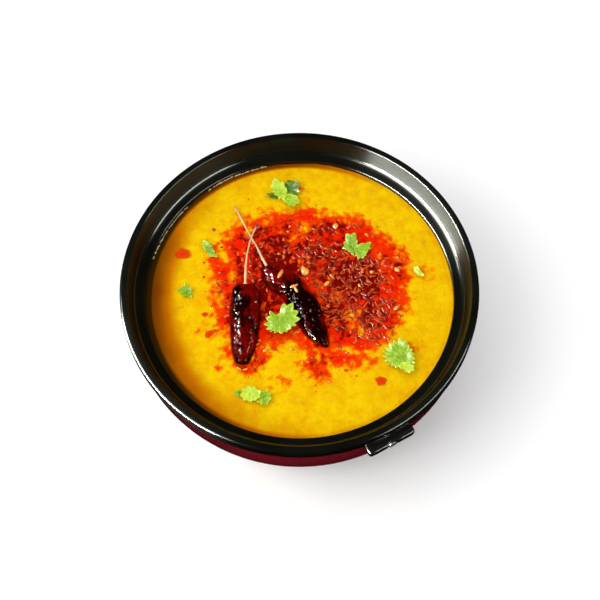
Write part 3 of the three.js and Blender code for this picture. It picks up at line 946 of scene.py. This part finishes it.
class DAL_OT_cumin(bpy.types.Operator):
    """Scatter the cumin seeds of the tempering"""
    bl_idname = "dal.cumin"
    bl_label = "Cumin Seeds"
    bl_options = {"REGISTER", "UNDO"}

    def execute(self, context):
        """The seeds lie thick in their patches and thin in the rest of the oil, turned at random and sunk or
        raised a little."""
        food, toppings = context.scene.dal_food, context.scene.dal_toppings
        rng = np.random.default_rng(5)
        total = toppings.seed_count

        def density(x, y):
            """How likely it is that a seed lies at a place."""
            dense = smooth(-4, 8, patches(x, y, SEED_PATCHES))
            sparse = 0.1 * smooth(2, 7, patches(x, y, RED_OIL))
            return np.maximum(dense, sparse) * clear_of_chillies(x, y, toppings, 0.6)

        x, y = settled(rng, total, density)
        z = LEVEL + dal_height(x, y, food, toppings) + rng.uniform(-0.3, 0.4, total)
        shape = self.seed(toppings.seed_length / MM, toppings.seed_width / MM)
        points = scattered(shape, x, y, z, rng.uniform(0, TURN, total), rng.normal(0, 0.13, total),
                           rng.uniform(0, TURN, total), rng.uniform(0.72, 1.15, total))
        tone = per_copy(rng.uniform(0, 1, total))
        finish = toned_finish("cumin", toppings.cumin, toppings.cumin_dark, 0.24, 0.06)
        piece("cumin_seeds", points, finish, (), {"tone": tone})
        return {"FINISHED"}

    @staticmethod
    def seed(long, wide):
        """A spindle bowed sideways: radius = half width times sin(pi s)^0.7, with five ribs along it."""
        s = np.linspace(0, 1, 9)[:, None]
        t = np.linspace(0, TURN, 10, endpoint=False)[None, :]
        r = wide / 2 * np.sin(math.pi * s)**0.7 * (1 + 0.16 * np.cos(5 * t))
        bow = 0.025 * long * (1 - (2 * s - 1)**2)
        return np.stack([long * (s - 0.5) + 0 * t, r * np.cos(t) + bow, r * np.sin(t)], -1)


def chips(rng, total, rows=8, columns=10, rough=0.28):
    """Uneven rounded chips, one per copy: a ball whose radius changes at random from corner to corner."""
    s = np.linspace(0, math.pi, rows)[None, :, None]
    t = np.linspace(0, TURN, columns, endpoint=False)[None, None, :]
    r = 1 + rough * rng.uniform(-1, 1, (total, rows, columns))
    r[:, 0], r[:, -1] = r[:, 0].mean(-1)[:, None], r[:, -1].mean(-1)[:, None]
    return np.stack([r * np.sin(s) * np.cos(t), r * np.sin(s) * np.sin(t), r * np.cos(s) + 0 * t], -1)


def sized_chips(rng, total, *spans):
    """Chips whose half length, half width and half height each lie in a span of millimetres."""
    shape = chips(rng, total)
    return shape * np.stack([rng.uniform(*span, total) for span in spans], -1)[:, None, None, :]


class DAL_OT_flakes(bpy.types.Operator):
    """Scatter the chopped flakes of the tempering and the few dark specks in the dal"""
    bl_idname = "dal.flakes"
    bl_label = "Flakes"
    bl_options = {"REGISTER", "UNDO"}

    def execute(self, context):
        """The flakes lie all over the oil, and now and then one lies in the plain dal."""
        food, toppings = context.scene.dal_food, context.scene.dal_toppings
        rng = np.random.default_rng(8)
        total = toppings.flake_count

        def density(x, y):
            """How likely it is that a flake lies at a place."""
            inside = smooth(-1, 6, patches(x, y, RED_OIL))
            return np.maximum(inside, 0.015) * clear_of_chillies(x, y, toppings, 0.3)

        x, y = settled(rng, total, density, 80)
        z = LEVEL + dal_height(x, y, food, toppings) + rng.uniform(-0.1, 0.35, total)
        shape = sized_chips(rng, total, (0.5, 1.5), (0.35, 0.9), (0.2, 0.5))
        points = scattered(shape, x, y, z, rng.uniform(0, TURN, total), rng.normal(0, 0.25, total),
                           size=rng.uniform(0.7, 1.5, total))
        finish = toned_finish("chilli_flakes", toppings.flake, toppings.flake_dark, 0.26, 0.12)
        tone = per_copy(rng.uniform(0, 1, total))
        piece("chilli_flakes", points, finish, (), {"tone": tone})
        return {"FINISHED"}


class DAL_OT_garlic(bpy.types.Operator):
    """Place the bits of fried garlic, and two pale scraps at the left chilli's tip that paint the dal's
    highlight there
    """
    bl_idname = "dal.garlic"
    bl_label = "Garlic"
    bl_options = {"REGISTER", "UNDO"}

    # x, y, lift over the dal, half length, half width, half height, turn in degrees, browning
    BITS = [
        [3.4, 15.0, 1.5, 3.4, 2.4, 1.7, -55, 0.2], [-3.3, 1.6, 8.2, 2.6, 0.9, 0.6, 20, 0.6],
        [-2.2, -0.8, 8.4, 2.4, 0.9, 0.6, -62, 0.1], [17.5, 7.0, 1.3, 2.5, 1.0, 0.8, 40, 0.45],
        [20.4, 11.8, 1.0, 2.4, 0.9, 0.7, -50, 0.8], [23.2, 48.3, 0.9, 2.2, 1.4, 0.9, 80, 0.5],
        [45.6, 15.2, 1.0, 1.3, 0.9, 0.7, 10, 0.5], [61.4, 16.6, 0.9, 2.1, 1.2, 0.8, -60, 0.15],
        [60.5, -9.5, 0.7, 2.6, 1.1, 0.8, 50, 0.75], [43.0, 42.0, 0.7, 1.5, 0.9, 0.6, -40, 0.7],
        [-11.5, 10.2, 8.6, 3.2, 1.2, 0.7, 60, 0.75], [37.5, 5.5, 1.0, 1.2, 0.7, 0.5, -60, 0.2],
        [-20.4, -38.5, 0.4, 1.7, 1.0, 0.5, 20, 0.6], [-4.6, -37.5, 0.4, 1.5, 0.7, 0.4, -30, 0.5],
        # the two palest scraps at the left chilli's tip are a painted highlight of the dal round it
        [-36.4, -50.6, 0.5, 1.5, 0.5, 0.4, -35, 0.0], [-32.6, -51.0, 0.5, 1.6, 0.5, 0.4, 15, 0.0],
    ]

    def execute(self, context):
        """Each bit has its own place and size, and browns from one end to the other."""
        toppings = context.scene.dal_toppings
        rng = np.random.default_rng(17)
        x, y, lift, *halves, turn, brown = np.array(self.BITS, float).T
        shape = chips(rng, len(x), 8, 9, 0.3) * np.stack(halves, -1)[:, None, None, :]
        tone = per_copy(brown) + 0.45 * shape[..., 0] / per_copy(halves[0])
        points = scattered(shape, x, y, LEVEL + lift, np.radians(turn))
        finish = toned_finish("garlic", toppings.garlic, toppings.garlic_brown, 0.3, 0.15, 1.5)
        piece("garlic_bits", points, finish, (), {"tone": tone})
        return {"FINISHED"}


class DAL_OT_crust(bpy.types.Operator):
    """Scatter the pale dried specks on the wall at the back, whose paleness is a painted highlight of the
    dal's edge
    """
    bl_idname = "dal.crust"
    bl_label = "Dried Crust"
    bl_options = {"REGISTER", "UNDO"}

    def execute(self, context):
        """Slim specks lie along two stretches of the wall, just over the dal."""
        food = context.scene.dal_food
        rng = np.random.default_rng(41)
        total = food.crust_count
        bearing = np.radians(np.where(rng.uniform(0, 1, total) < 0.5, rng.uniform(103, 129, total),
                                      rng.uniform(138, 165, total)))
        r = PAN_INNER_R - rng.uniform(0.1, 0.5, total)
        z = LEVEL + 0.5 + rng.uniform(0, 0.8, total) + 0.4 * noise(bearing * 12, 0 * bearing, 42)
        shape = sized_chips(rng, total, (0.3, 1.0), (0.15, 0.3), (0.15, 0.3))
        points = scattered(shape, r * np.cos(bearing), r * np.sin(bearing), z, bearing + math.pi / 2,
                           rng.normal(0, 0.2, total))
        # painted highlight: the specks' pale colour stands in for the broken highlight along the dal's edge
        finish = toned_finish("dal_crust", food.crust, food.dal_speck, 0.35, 0.3)
        piece("dal_crust", points, finish, (), {"tone": per_copy(rng.uniform(0, 0.55, total))})
        return {"FINISHED"}


class DAL_OT_oil_drops(bpy.types.Operator):
    """Place the drops of chilli oil that lie on the dal"""
    bl_idname = "dal.oil_drops"
    bl_label = "Oil Drops"
    bl_options = {"REGISTER", "UNDO"}

    # x, y, half length, half width, turn in degrees
    DROPS = [
        [-73.8, 28.4, 6.2, 5.0, 0], [49.1, -58.4, 4.4, 3.7, 0], [-55.4, -27.3, 4.0, 2.8, 40],
        [-58.4, -14.0, 2.6, 1.8, 10], [28.2, -51.5, 1.8, 1.2, 0], [-51.5, -25.0, 1.6, 1.2, 0],
        [-60.3, 22.0, 1.2, 0.9, 0], [-60.0, 12.0, 1.3, 0.9, 30], [-15.5, -37.0, 2.6, 2.0, 0],
    ]

    def execute(self, context):
        """Each drop is a lens, 0.32 (1 - r^2) high over a slightly lobed outline and closed to a point
        under it. The tiny ones gather along the oil's edge."""
        food, toppings = context.scene.dal_food, context.scene.dal_toppings
        rng = np.random.default_rng(29)
        big = np.array(self.DROPS, float)

        def fringe(x, y):
            """How likely it is that a tiny drop lies at a place: it falls off on both sides of the edge."""
            return np.exp(-(patches(x, y, RED_OIL) / 5)**2) * clear_of_chillies(x, y, toppings, 1)

        total = food.droplet_count
        x, y = settled(rng, total, fringe, 78)
        small = np.stack([x, y, *rng.uniform(0.3, 1.0, (2, total)), rng.uniform(0, 360, total)], -1)
        x, y, half_x, half_y, turn = np.concatenate([big, small]).T
        r = np.concatenate([np.linspace(0, 1, 9), [0.8, 0]])[None, :, None]
        t = np.linspace(0, TURN, 28, endpoint=False)[None, None, :]
        wobble = 1 + 0.07 * np.cos(3 * t + per_copy(x)) + 0.05 * np.cos(5 * t + per_copy(y))
        dome = 0.32 * (1 - r**2) + 0 * t
        dome[:, -2:] = -0.5
        lens = np.stack(np.broadcast_arrays(r * wobble * np.cos(t) * per_copy(half_x),
                                            r * wobble * np.sin(t) * per_copy(half_y), dome), -1)
        z = LEVEL + dal_height(x, y, food, toppings) + 0.12
        points = scattered(lens, x, y, z, np.radians(turn))
        piece("oil_drops", points, oil_finish(food), (), {"tone": r})
        return {"FINISHED"}


class DAL_OT_coriander(bpy.types.Operator):
    """Place the coriander leaves"""
    bl_idname = "dal.coriander"
    bl_label = "Coriander"
    bl_options = {"REGISTER", "UNDO"}

    # x, y, lift, tilt towards +X, tilt towards +Y, cup, tone (1 is dark), paleness, teeth, outline as
    # angle in degrees and reach in millimetres
    LEAVES = [
        # the fan over the right chilli's edge
        [-11.7, -22.2, 5.0, 0.1, 0.02, 0.02, 0.1, 0.35, 15,
         [0, 10.5, 32, 13.2, 56, 14.2, 74, 13, 92, 9, 108, 5.2, 121, 9.6, 140, 9, 160, 8.4, 187, 9.4,
          219, 7.9, 246, 6.4, 275, 7.6, 303, 7.4, 332, 8.4]],
        # the top cluster: pale, dark, lime and small lobes
        [-12.5, 72.5, 2.6, -0.1, 0.1, 0.05, 0.05, 0.8, 9,
         [0, 4.2, 60, 6.0, 105, 9.0, 128, 9.2, 165, 4.5, 240, 4.0, 290, 6.0, 320, 6.4]],
        [-5.5, 75.5, 1.6, 0.2, 0.1, 0.05, 0.75, 0.05, 9,
         [0, 5.4, 40, 6.0, 88, 6.4, 122, 6.8, 170, 4.5, 225, 4.2, 280, 5.5, 320, 5.6]],
        [-6.0, 67.5, 2.4, 0.1, -0.2, 0.05, 0.0, 0.55, 9,
         [10, 5.0, 60, 4.0, 120, 5.2, 170, 4.0, 230, 4.0, 290, 7.2, 318, 8.0, 345, 6.4]],
        [-17.0, 70.8, 1.2, -0.2, 0, 0.05, 0.55, 0.1, 7,
         [0, 4.0, 90, 2.0, 150, 3.2, 182, 5.0, 215, 3.0, 270, 2.0]],
        # the narrow one at the left
        [-57.2, 31.0, 1.6, 0.05, 0.1, 0.05, 0.35, 0.45, 11,
         [20, 2.4, 70, 3.2, 100, 5.0, 125, 8.6, 150, 5.4, 180, 2.4, 240, 2.6, 290, 5.4, 310, 7.6, 330, 4.4]],
        # the small star
        [-70.8, 1.3, 1.3, 0, 0, 0.05, 0.25, 0.3, 5,
         [0, 3.2, 36, 5.0, 62, 2.6, 98, 5.6, 130, 3.2, 168, 6.0, 205, 2.8, 245, 4.6, 282, 3.2, 318, 5.6]],
        # the pair in a V
        [33.2, 33.0, 2.0, 0.12, 0.1, 0.03, 0.3, 0.3, 11,
         [0, 3.0, 50, 5.6, 88, 9.6, 108, 9.0, 150, 5.0, 185, 5.4, 230, 4.0, 280, 6.2, 320, 5.0]],
        [38.6, 29.2, 2.4, -0.15, 0.05, 0.03, 0.12, 0.4, 11,
         [0, 5.2, 40, 8.6, 62, 7.0, 90, 5.2, 140, 4.8, 200, 3.4, 250, 5.0, 272, 5.6, 310, 5.2, 340, 4.6]],
        # the scrap at the right
        [75.0, 15.0, 1.2, 0.1, 0, 0.05, 0, 0.9, 5,
         [0, 2.0, 60, 1.6, 125, 4.8, 180, 1.8, 240, 1.6, 310, 4.0]],
        # the round one with its folded lobe
        [60.5, -43.5, 2.6, 0.05, 0.15, 0.03, 0.12, 0.45, 19,
         [0, 9.4, 40, 8.4, 75, 9.8, 105, 9.6, 140, 9.2, 175, 9.0, 205, 7.6, 250, 8.0, 290, 8.6, 330, 9.4]],
        [64.5, -50.5, 3.4, -0.1, -0.25, 0.05, 0, 0.95, 9,
         [0, 5.2, 45, 3.0, 100, 3.0, 160, 5.4, 205, 4.0, 260, 3.4, 320, 5.6]],
        # the pale one in front, with its tips
        [-28.5, -68.5, 2.6, 0.05, 0.15, 0.04, 0, 0.95, 9,
         [0, 5.6, 40, 5.2, 90, 4.8, 130, 5.8, 165, 7.0, 200, 6.6, 250, 4.2, 300, 4.6]],
        [-21.8, -70.0, 2.0, 0.1, -0.1, 0.04, 0.15, 0.5, 9,
         [0, 4.4, 50, 5.4, 95, 5.0, 150, 4.4, 200, 4.0, 260, 4.6, 310, 5.6]],
        [-36.0, -67.0, 1.4, -0.1, 0, 0.05, 0.3, 0.4, 5,
         [0, 2.6, 90, 1.8, 150, 3.4, 200, 2.4, 270, 1.8]],
    ]

    def execute(self, context):
        """All the leaves are one mesh, which carries their tone and their paleness."""
        food, toppings = context.scene.dal_food, context.scene.dal_toppings
        made = [self.leaf(i, row, food, toppings) for i, row in enumerate(self.LEAVES)]
        points, tone, pale = (np.stack(part) for part in zip(*made))
        piece("coriander_leaves", points, leaf_finish(toppings), (), {
            "tone": tone, "pale": pale})
        return {"FINISHED"}

    @staticmethod
    def leaf(number, row, food, toppings):
        """A thin closed sheet, worked out in rings from the middle of the leaf to its edge on top and back
        to the middle underneath.

        The reach at each angle comes from the outline, cut by rounded teeth. The sheet is tilted, its edge
        cups up, and it ripples and dips along its veins."""
        x, y, lift, tilt_x, tilt_y, cup, tone, pale, teeth, outline = row
        angles, reaches = np.array(outline[0::2], float), np.array(outline[1::2], float)
        columns, rings = 160, 20
        t = np.linspace(0, TURN, columns, endpoint=False)
        reach = np.interp(np.degrees(t), angles, reaches, period=360)
        reach = np.convolve(np.concatenate([reach[-2:], reach, reach[:2]]), np.ones(5) / 5, "valid")
        phase = (t / TURN * teeth + 0.35 * noise(t / TURN * 6, 0 * t, 40 + number, 6)) % 1
        tooth = 1 - np.abs(2 * phase - 1)**1.3
        reach = reach * (0.82 + 0.25 * tooth * (1 + 0.5 * noise(t / TURN * 9, 0 * t, 80 + number, 9)))
        out = np.linspace(0, 1, rings)
        share_out = np.concatenate([out, out[-2::-1]])[:, None]
        side = np.concatenate([out < 1, -(out[-2::-1] < 1).astype(float)])[:, None]
        r = share_out * reach[None, :]
        px, py = r * np.cos(t), r * np.sin(t)
        vein = np.abs(np.sin(t * 3.5 + number))[None, :]
        ripple = noise(px / 3.6 + 7 * number, py / 3.6, 60 + number)
        z = (0.3 * cup * r**2 + tilt_x * px + tilt_y * py + 1.3 * ripple * share_out
             - 0.5 * (1 - vein)**3 * share_out)
        thick = toppings.leaf_thickness / MM / 2 * side * (1 - 0.6 * share_out**4)
        ground = dal_height(np.array([x]), np.array([y]), food, toppings)[0]
        points = np.stack([x + px, y + py, LEVEL + max(ground, -0.5) + lift + z + thick], -1)
        points[..., 2] = np.maximum(points[..., 2], LEVEL + 0.15 + thick)
        veins = (1 - vein)**6 * share_out
        paleness = pale * 0.9 + 0.45 * smooth(0.72, 1.0, share_out) + 0.5 * veins
        # painted shade: darker on the underside and towards the leaf's cupped middle, on top of each leaf's
        # own tone
        dark = tone + 0.6 * (side < 0) + 0.3 * (1 - share_out) ** 2
        return points, np.broadcast_to(dark, px.shape), np.broadcast_to(paleness, px.shape)


class DAL_OT_stage(bpy.types.Operator):
    """Set up the floor, the lights and the camera"""
    bl_idname = "dal.stage"
    bl_label = "Stage"
    bl_options = {"REGISTER", "UNDO"}

    # name, azimuth, elevation, distance, width, height, whether it lights matt surfaces and shows in gloss
    LIGHTS = (
        ("overhead", 120, 80, 1.5, 3.2, 3.2, True, False),
        ("key", 200, 45, 1.4, 1.0, 1.0, True, False),
        ("gleam_left", 196, 38, 1.3, 1.7, 0.3, False, True),
        ("gleam_right", 338, 38, 1.3, 1.1, 0.3, False, True),
        ("gleam_low", 200, 12, 1.3, 1.6, 0.15, False, True),
    )

    def execute(self, context):
        """A square floor, lights, even surroundings and a camera in front that looks down on the rim."""
        scene, stage = context.scene, context.scene.dal_stage
        mesh = bpy.data.meshes.new("floor")
        around = ((-1, -1), (1, -1), (1, 1), (-1, 1))
        corners = [(x * FLOOR_HALF, y * FLOOR_HALF, -FLOOR_GAP) for x, y in around]
        mesh.from_pydata(corners, [], [(0, 1, 2, 3)])
        floor = bpy.data.objects.new("floor", mesh)
        scene.collection.objects.link(floor)
        pale = Finish("floor", Roughness=0.9, Specular_IOR_Level=0.0)
        mesh.materials.append(pale.feed(
            Base_Color=pale.mix(pale.noise(60), stage.floor, scaled(stage.floor, 0.995))))
        floor.visible_glossy = False
        target = Vector((0, 0, LIP_Z * MM))
        for name, *light in self.LIGHTS:
            self.softbox(name, getattr(stage, name), stage.gleam_colour, *light, target)
        world = bpy.data.worlds.new("surroundings")
        world.use_nodes = True
        world.node_tree.nodes["Background"].inputs["Color"].default_value = (stage.sky,) * 3 + (1,)
        world.cycles_visibility.glossy = False
        scene.world = world
        data = bpy.data.cameras.new("camera")
        data.lens, data.sensor_width = stage.lens, SENSOR_WIDTH
        data.shift_x, data.shift_y = VIEW_SHIFT
        camera = bpy.data.objects.new("camera", data)
        scene.collection.objects.link(camera)
        towards = Vector((0, -math.cos(stage.elevation), math.sin(stage.elevation)))
        camera.location = target + towards * stage.distance
        camera.rotation_euler = (math.pi / 2 - stage.elevation, 0, 0)
        scene.camera = camera
        scene.view_settings.view_transform = "Standard"
        return {"FINISHED"}

    @staticmethod
    def softbox(name, watts, tint, azimuth, elevation, distance, width, height, matt, gloss, target):
        """A soft rectangular light that faces the target, from an angle round it and over the floor."""
        data = bpy.data.lights.new(name, "AREA")
        data.shape, data.energy = "RECTANGLE", watts
        data.size, data.size_y = width, height
        if gloss:
            data.color = tint
        light = bpy.data.objects.new(name, data)
        light.visible_camera, light.visible_diffuse, light.visible_glossy = False, matt, gloss
        bpy.context.scene.collection.objects.link(light)
        a, e = math.radians(azimuth), math.radians(elevation)
        towards = Vector((math.cos(a) * math.cos(e), math.sin(a) * math.cos(e), math.sin(e)))
        light.location = target + towards * distance
        light.rotation_euler = towards.to_track_quat("Z", "Y").to_euler()


BUILDERS = (
    DAL_OT_pan, DAL_OT_outer_body, DAL_OT_lugs, DAL_OT_dal, DAL_OT_chillies, DAL_OT_cumin, DAL_OT_flakes,
    DAL_OT_garlic, DAL_OT_crust, DAL_OT_oil_drops, DAL_OT_coriander, DAL_OT_stage,
)
SETTINGS = {
    "dal_pot": DalPotSettings, "dal_food": DalFoodSettings, "dal_toppings": DalToppingSettings,
    "dal_stage": DalStageSettings,
}


class DAL_PT_panel(bpy.types.Panel):
    """The pieces and their settings"""
    bl_label = "Pot of Dal"
    bl_idname = "DAL_PT_panel"
    bl_space_type = "VIEW_3D"
    bl_region_type = "UI"
    bl_category = "Dal"

    def draw(self, context):
        """A button for each operator and a box for each group of settings."""
        for operator in BUILDERS:
            self.layout.operator(operator.bl_idname)
        for name, group in SETTINGS.items():
            box = self.layout.box()
            for key in group.__annotations__:
                box.prop(getattr(context.scene, name), key)


CLASSES = (*SETTINGS.values(), *BUILDERS, DAL_PT_panel)


def register():
    """Registers the classes and gives the scene its settings."""
    for cls in CLASSES:
        bpy.utils.register_class(cls)
    for name, group in SETTINGS.items():
        setattr(bpy.types.Scene, name, bpy.props.PointerProperty(type=group))


def unregister():
    """Takes back what register did."""
    for name in SETTINGS:
        delattr(bpy.types.Scene, name)
    for cls in reversed(CLASSES):
        bpy.utils.unregister_class(cls)


def main():
    """Builds every piece and the stage."""
    register()
    bpy.ops.dal.pan()
    bpy.ops.dal.outer_body()
    bpy.ops.dal.lugs()
    bpy.ops.dal.dal()
    bpy.ops.dal.chillies()
    bpy.ops.dal.cumin()
    bpy.ops.dal.flakes()
    bpy.ops.dal.garlic()
    bpy.ops.dal.crust()
    bpy.ops.dal.oil_drops()
    bpy.ops.dal.coriander()
    bpy.ops.dal.stage()


if __name__ == "__main__":
    main()
